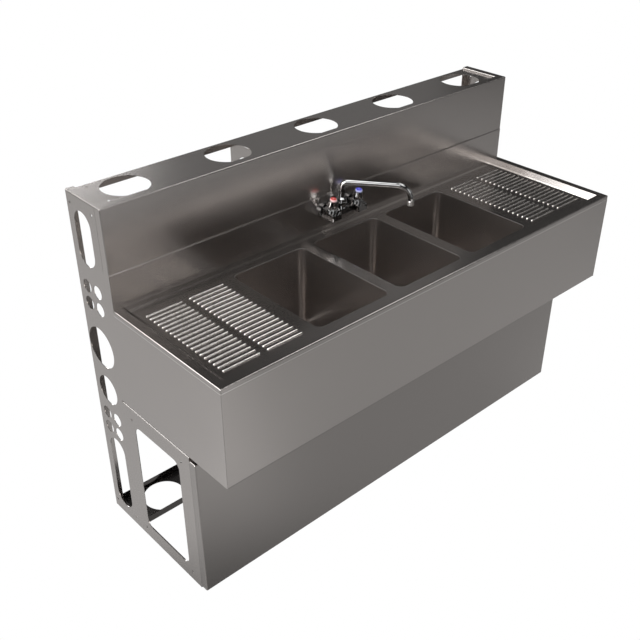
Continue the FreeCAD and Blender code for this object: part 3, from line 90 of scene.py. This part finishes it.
# name: azimuth and elevation in degrees, width and height in metres, radiance
SOFTBOXES = {
    "key_left": (-92, 16, 5.0, 4.0, 11.5),
    "left_front": (-60, 22, 4.0, 4.0, 2.6),
    "left_high": (-80, 54, 5.0, 4.0, 0.5),
    "back_left": (-148, 40, 4.0, 4.0, 4.0),
    "back_left_low": (-120, 5, 4.0, 3.0, 1.5),
    "back_left_top": (-120, 72, 5.0, 4.0, 4.1),
    "front_top": (5, 64, 5.0, 4.0, 2.0),
    "front_mid": (10, 20, 4.0, 3.0, 1.6),
    "front_low": (0, 0, 6.0, 3.0, 0.35),
    "right_top": (97, 56, 4.0, 3.0, 3.0),
    "right_mid": (60, 25, 4.0, 3.0, 0.25),
    "right_front": (54, -6, 4.0, 2.5, 0.12),
    "right_low": (98, 4, 5.0, 2.5, 0.6),
    "back_right": (146, 26, 5.0, 3.0, 0.15),
    "back_end": (164, 15, 2.5, 2.0, 2.7),
    "back_low": (180, 9, 6.0, 2.5, 9.0),
    "bounce_front": (0, -34, 7.0, 5.0, 0.32),
    "bounce_front_left": (-50, -36, 7.0, 5.0, 0.38),
    "bounce_front_right": (42, -32, 6.0, 5.0, 0.32),
    "bounce_left": (-105, -38, 7.0, 6.0, 0.45),
    "bounce_back_left": (-150, -30, 6.0, 5.0, 0.5),
    "bounce_right": (88, -26, 6.0, 4.0, 0.37),
    "bounce_back": (170, -21, 6.0, 4.0, 0.4),
}


def add_softbox(name, azimuth, elevation, width, height, radiance):
    """A rectangular light that faces the middle of the object."""
    lamp = bpy.data.lights.new(name, "AREA")
    lamp.shape = "RECTANGLE"
    lamp.size = width
    lamp.size_y = height
    lamp.energy = radiance * math.pi * width * height
    light = in_scene(name, lamp)
    middle = (cad_box[0] + cad_box[1]) / 2
    away = direction(math.radians(azimuth), math.radians(elevation))
    light.location = middle + away * LAMP_DISTANCE
    aim(light, -away)
    light.visible_camera = False


def add_world():
    world = bpy.data.worlds.new("studio")
    bpy.context.scene.world = world
    world.use_nodes = True
    background = world.node_tree.nodes["Background"]
    background.inputs["Color"].default_value = (*AMBIENT_COLOUR, 1)
    background.inputs["Strength"].default_value = AMBIENT


def plain_white(name):
    material = bpy.data.materials.new(name)
    material.use_nodes = True
    tree = material.node_tree
    tree.nodes.clear()
    output = tree.nodes.new("ShaderNodeOutputMaterial")
    glow = tree.nodes.new("ShaderNodeEmission")
    glow.inputs["Color"].default_value = (1, 1, 1, 1)
    glow.inputs["Strength"].default_value = 1.0
    tree.links.new(glow.outputs[0], output.inputs["Surface"])
    return material


def stage_piece(name, mesh, material):
    """A piece of the studio that only the camera sees."""
    thing = in_scene(name, mesh)
    mesh.materials.append(material)
    thing.visible_diffuse = False
    thing.visible_glossy = False
    thing.visible_transmission = False
    thing.visible_shadow = False


def add_stage():
    """A white floor and a white dome over it."""
    white = plain_white("pale_floor")
    reach = BACKDROP_RADIUS
    corners = [(-reach, -reach, 0), (reach, -reach, 0), (reach, reach, 0), (-reach, reach, 0)]
    floor = bpy.data.meshes.new("floor")
    floor.from_pydata(corners, [], [(0, 1, 2, 3)])
    stage_piece("floor", floor, white)
    dome = bpy.data.meshes.new("backdrop")
    shape = bmesh.new()
    bmesh.ops.create_uvsphere(
        shape, u_segments=DOME_SEGMENTS, v_segments=DOME_RINGS, radius=reach
    )
    shape.to_mesh(dome)
    shape.free()
    stage_piece("backdrop", dome, white)


# ---------------------------------------------------------------- shader parts

# sockets of a mix node by what it mixes: first, second, result
MIX_SOCKETS = {"RGBA": (6, 7, 2), "FLOAT": (2, 3, 0)}
BRUSH_SCALE = 900.0
BRUSH_STRETCH = 0.02
SMUDGE_SCALE = 4.0
# how far grain and smudges move a steel's colour, as a share, and its roughness
TONE_SPREAD = 0.03
GLOSS_SPREAD = 0.03
GRAIN_SHARE = 0.6
BUMP_STRENGTH = 0.02
BUMP_DISTANCE = 0.00003
# height over which one band of a steel passes into the next, in metres
BAND_EDGE = 0.00005


def new_material(name):
    material = bpy.data.materials.new(name)
    material.use_nodes = True
    tree = material.node_tree
    return material, tree, tree.nodes["Principled BSDF"]


def noise_pattern(tree, scale, detail, stretch=(1, 1, 1)):
    """Noise in the object's own space, which a small stretch draws out along an axis."""
    place = tree.nodes.new("ShaderNodeTexCoord")
    mapping = tree.nodes.new("ShaderNodeMapping")
    mapping.inputs["Scale"].default_value = stretch
    noise = tree.nodes.new("ShaderNodeTexNoise")
    noise.inputs["Scale"].default_value = scale
    noise.inputs["Detail"].default_value = detail
    tree.links.new(place.outputs["Object"], mapping.inputs["Vector"])
    tree.links.new(mapping.outputs["Vector"], noise.inputs["Vector"])
    return noise.outputs["Fac"]


def map_range(tree, source, low, high, new_low, new_high):
    node = tree.nodes.new("ShaderNodeMapRange")
    node.inputs["From Min"].default_value = low
    node.inputs["From Max"].default_value = high
    node.inputs["To Min"].default_value = new_low
    node.inputs["To Max"].default_value = new_high
    tree.links.new(source, node.inputs["Value"])
    return node.outputs["Result"]


def mixed(tree, factor, first, second):
    """A mix of two plain colours."""
    low, high, result = MIX_SOCKETS["RGBA"]
    node = tree.nodes.new("ShaderNodeMix")
    node.data_type = "RGBA"
    node.inputs[low].default_value = (*first, 1)
    node.inputs[high].default_value = (*second, 1)
    tree.links.new(factor, node.inputs["Factor"])
    return node.outputs[result]


def blended(tree, factor, first, second, kind):
    """A mix of two linked colours (RGBA) or numbers (FLOAT)."""
    low, high, result = MIX_SOCKETS[kind]
    node = tree.nodes.new("ShaderNodeMix")
    node.data_type = kind
    tree.links.new(factor, node.inputs[0])
    tree.links.new(first, node.inputs[low])
    tree.links.new(second, node.inputs[high])
    return node.outputs[result]


def above(tree, height):
    """1 over a level of the object, 0 below it."""
    place = tree.nodes.new("ShaderNodeTexCoord")
    split = tree.nodes.new("ShaderNodeSeparateXYZ")
    tree.links.new(place.outputs["Object"], split.inputs[0])
    return map_range(tree, split.outputs["Z"], height - BAND_EDGE, height, 0, 1)


def vector_math(tree, operation, source, operand=None):
    node = tree.nodes.new("ShaderNodeVectorMath")
    node.operation = operation
    tree.links.new(source, node.inputs[0])
    if operand is not None:
        node.inputs[1].default_value = operand
    return node


# ---------------------------------------------------------------- materials

def steel_tone(tree, colour, grain, smudge):
    tone = tree.nodes.new("ShaderNodeMath")
    tone.operation = "ADD"
    tree.links.new(map_range(tree, grain, 0, 1, 0, GRAIN_SHARE), tone.inputs[0])
    tree.links.new(map_range(tree, smudge, 0, 1, 0, 1 - GRAIN_SHARE), tone.inputs[1])
    dark = tuple(c * (1 - TONE_SPREAD) for c in colour)
    pale = tuple(c * (1 + TONE_SPREAD) for c in colour)
    return mixed(tree, tone.outputs[0], dark, pale)


def steel_gloss(tree, roughness, smudge):
    return map_range(tree, smudge, 0, 1, roughness - GLOSS_SPREAD, roughness + GLOSS_SPREAD)


def brushed_steel(name, colour, roughness, along, bands=()):
    """Stainless sheet, finely brushed along one axis, with faint cloudy smudges.

    Each band is a height over which another colour and roughness take over.
    """
    material, tree, shader = new_material(name)
    shader.inputs["Metallic"].default_value = 1.0
    stretch = [1.0, 1.0, 1.0]
    stretch["xyz".index(along)] = BRUSH_STRETCH
    grain = noise_pattern(tree, BRUSH_SCALE, 2.0, stretch)
    smudge = noise_pattern(tree, SMUDGE_SCALE, 3.0)
    paint = steel_tone(tree, colour, grain, smudge)
    gloss = steel_gloss(tree, roughness, smudge)
    for height, band_colour, band_roughness in bands:
        over = above(tree, height)
        band_paint = steel_tone(tree, band_colour, grain, smudge)
        band_gloss = steel_gloss(tree, band_roughness, smudge)
        paint = blended(tree, over, paint, band_paint, "RGBA")
        gloss = blended(tree, over, gloss, band_gloss, "FLOAT")
    tree.links.new(paint, shader.inputs["Base Color"])
    tree.links.new(gloss, shader.inputs["Roughness"])
    bump = tree.nodes.new("ShaderNodeBump")
    bump.inputs["Strength"].default_value = BUMP_STRENGTH
    bump.inputs["Distance"].default_value = BUMP_DISTANCE
    tree.links.new(grain, bump.inputs["Height"])
    tree.links.new(bump.outputs["Normal"], shader.inputs["Normal"])
    return material


WIPE_SCALE = 60.0
# the part of the noise that counts as wiping marks
WIPE_RANGE = (0.3, 0.7)
# roughness where the plate is clean and where it is wiped, as shares of its own
CLEAN_SHARE = 0.6
WIPED_SHARE = 1.5


def polished(name, colour, roughness):
    """Chrome plate with a trace of wiping marks."""
    material, tree, shader = new_material(name)
    shader.inputs["Metallic"].default_value = 1.0
    shader.inputs["Base Color"].default_value = (*colour, 1)
    marks = noise_pattern(tree, WIPE_SCALE, 4.0)
    clean, wiped = roughness * CLEAN_SHARE, roughness * WIPED_SHARE
    gloss = map_range(tree, marks, *WIPE_RANGE, clean, wiped)
    tree.links.new(gloss, shader.inputs["Roughness"])
    return material


# an index button from its middle to its rim, as shares of its radius: a painted highlight in
# the middle, then the colour, then the pale rim
BUTTON_COLOUR_FROM = 0.35
BUTTON_COLOUR_TO = 0.72
BUTTON_RING_AT = 0.92
BUTTON_RIM_AND_HIGHLIGHT_PALER = 0.45


def index_button(name, colour):
    """A clear domed cap: a pale ring round the colour, and a painted highlight that lightens
    its middle.
    """
    material, tree, shader = new_material(name)
    place = tree.nodes.new("ShaderNodeTexCoord")
    middle = vector_math(tree, "SUBTRACT", place.outputs["Generated"], (0.5, 0.5, 0.5))
    flat = vector_math(tree, "MULTIPLY", middle.outputs[0], (2.0, 2.0, 0.0))
    reach = vector_math(tree, "LENGTH", flat.outputs[0])
    ramp = tree.nodes.new("ShaderNodeValToRGB")
    # one pale tone for the rim and for the painted highlight in the middle
    pale = tuple(c + (1 - c) * BUTTON_RIM_AND_HIGHLIGHT_PALER for c in colour)
    stops = ramp.color_ramp.elements
    # the first stop is the painted highlight, the last stop is the pale rim
    stops[0].position, stops[0].color = 0.0, (*pale, 1)
    stops[1].position, stops[1].color = BUTTON_RING_AT, (*pale, 1)
    for position in (BUTTON_COLOUR_FROM, BUTTON_COLOUR_TO):
        stops.new(position).color = (*colour, 1)
    tree.links.new(reach.outputs["Value"], ramp.inputs["Fac"])
    tree.links.new(ramp.outputs["Color"], shader.inputs["Base Color"])
    shader.inputs["Roughness"].default_value = 0.35
    shader.inputs["Coat Weight"].default_value = 1.0
    shader.inputs["Coat Roughness"].default_value = 0.05
    return material


RUBBER_SCALE = 300.0
RUBBER_DARK = (0.015, 0.015, 0.016)
RUBBER_PALE = (0.04, 0.04, 0.041)


def rubber(name):
    """Black rubber, slightly cloudy and dull."""
    material, tree, shader = new_material(name)
    cloud = noise_pattern(tree, RUBBER_SCALE, 3.0)
    paint = mixed(tree, cloud, RUBBER_DARK, RUBBER_PALE)
    tree.links.new(paint, shader.inputs["Base Color"])
    shader.inputs["Roughness"].default_value = 0.75
    return material


STEEL = (0.50, 0.469, 0.450)
# a lighter copy of the steel for the apron: painted light on the same sheet
LIT_APRON_STEEL = (0.54, 0.507, 0.486)
# a darker copy of the steel for the base front panel: painted shade under the apron's
# overhang
SHADED_BASE_STEEL = (0.41, 0.385, 0.369)
BOWL_STEEL = (0.51, 0.478, 0.458)
# a much paler steel painted on the tops of the ribs as their highlight
RIB_HIGHLIGHT_STEEL = (0.78, 0.75, 0.72)
DARK_STEEL = (0.32, 0.298, 0.285)
# a very dark steel for the bottom channel: painted shade inside the base
SHADED_STEEL = (0.15, 0.14, 0.135)
# a dark steel painted on the rolled edge round each bowl, as shade that hides its highlight
EDGE_SHADE_STEEL = (0.16, 0.15, 0.145)
BASKET_STEEL = (0.60, 0.58, 0.56)
KNURLED_STEEL = (0.45, 0.435, 0.42)
ZINC = (0.55, 0.56, 0.57)
CHROME = (0.38, 0.38, 0.38)
RED = (0.62, 0.05, 0.04)
BLUE = (0.05, 0.06, 0.70)

SHEET_ROUGHNESS = 0.24
DECK_ROUGHNESS = 0.19

RIB_HIGHLIGHT_ROUGHNESS = 0.17
EDGE_SHADE_ROUGHNESS = 0.45

# heights in metres from the deck, whose level is the top of the bowls' flanges
DECK_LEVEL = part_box("bowl_left")[1][2]
# the painted highlight on the rib tops lies between these two heights
RIB_HIGHLIGHT_FROM = 0.0006
RIB_HIGHLIGHT_TO = 0.0036
EDGE_SHADE_DEPTH = 0.0012

# bands by height: a level, and the colour and roughness over it
DECK_BANDS = (
    (DECK_LEVEL + RIB_HIGHLIGHT_FROM, RIB_HIGHLIGHT_STEEL, RIB_HIGHLIGHT_ROUGHNESS),  # the tops of the ribs, painted much paler as their highlight
    (DECK_LEVEL + RIB_HIGHLIGHT_TO, STEEL, DECK_ROUGHNESS),  # the slopes and the rim over them
)
BOWL_BANDS = (
    (DECK_LEVEL - EDGE_SHADE_DEPTH, EDGE_SHADE_STEEL, EDGE_SHADE_ROUGHNESS),  # the rolled edge round a bowl, painted dark as shade that hides its highlight
    (DECK_LEVEL - BAND_EDGE, STEEL, DECK_ROUGHNESS),  # the flange, flush with the deck
)


def make_materials():
    return {
        "sheet_along_x": brushed_steel("steel_brushed_along", STEEL, SHEET_ROUGHNESS, "x"),
        "sheet_upright": brushed_steel("steel_brushed_upright", STEEL, SHEET_ROUGHNESS, "z"),
        "deck": brushed_steel("deck_brushed", STEEL, DECK_ROUGHNESS, "x", DECK_BANDS),
        # the apron's steel is painted lighter than the rest of the sheet
        "apron": brushed_steel("apron_brushed_painted_lighter", LIT_APRON_STEEL, SHEET_ROUGHNESS, "x"),
        # the base front panel is painted darker as shade
        "base": brushed_steel("base_brushed_painted_darker", SHADED_BASE_STEEL, SHEET_ROUGHNESS, "x"),
        "bowl": brushed_steel("bowl_satin", BOWL_STEEL, 0.26, "z", BOWL_BANDS),
        "inner": brushed_steel("inner_mill_steel", DARK_STEEL, 0.34, "x"),
        "basket": brushed_steel("basket_steel", BASKET_STEEL, 0.2, "x"),
        "zinc": brushed_steel("zinc_plate", ZINC, 0.35, "x"),
        # the bottom channel is painted dark as shade
        "shaded": brushed_steel("channel_painted_shade", SHADED_STEEL, 0.25, "x"),
        "chrome": polished("chrome_plate", CHROME, 0.03),
        "knurled": brushed_steel("aerator_knurled", KNURLED_STEEL, 0.38, "z"),
        "rubber": rubber("black_rubber"),
        "red": index_button("index_red", RED),
        "blue": index_button("index_blue", BLUE),
    }


# the start of a node's name, and its material; the longest start that fits counts
MATERIAL_OF = {
    "die_end_panel": "sheet_upright",
    "die_stud": "sheet_upright",
    "die_front_panel": "sheet_along_x",
    "die_top_channel": "sheet_along_x",
    "die_bottom_channel": "shaded",
    "sink_deck": "deck",
    "sink_splash": "sheet_along_x",
    "sink_apron": "apron",
    "sink_side": "sheet_upright",
    "sink_rear_rail": "inner",
    "drainboard_stiffener": "inner",
    "bowl": "bowl",
    "drain_body": "basket",
    "drain_gaskets": "rubber",
    "drain_locknuts": "zinc",
    "drain_tailpiece": "chrome",
    "tailpiece_nuts": "chrome",
    "strainer_basket": "basket",
    "seat_strips": "rubber",
    "base_end_panel": "sheet_upright",
    "base_front_panel": "base",
    "base_rail": "inner",
    "panel_hooks": "inner",
    "frame_bolts": "zinc",
    "frame_nuts": "zinc",
    "faucet": "chrome",
    "shank_locknuts": "zinc",
    "inlet_shank": "zinc",
    "spout": "chrome",
    "valve": "chrome",
    "aerator": "knurled",
    "index_button_hot": "red",
    "index_button_cold": "blue",
}


def material_for(node):
    found = [start for start in MATERIAL_OF if node.startswith(start)]
    return MATERIAL_OF[max(found, key=len)]


def dress_nodes(materials):
    for name, thing in nodes.items():
        thing.data.materials.clear()
        thing.data.materials.append(materials[material_for(name)])


add_camera()
add_world()
add_stage()
for name, softbox in SOFTBOXES.items():
    add_softbox(name, *softbox)
dress_nodes(make_materials())
bpy.context.scene.view_settings.view_transform = "Standard"
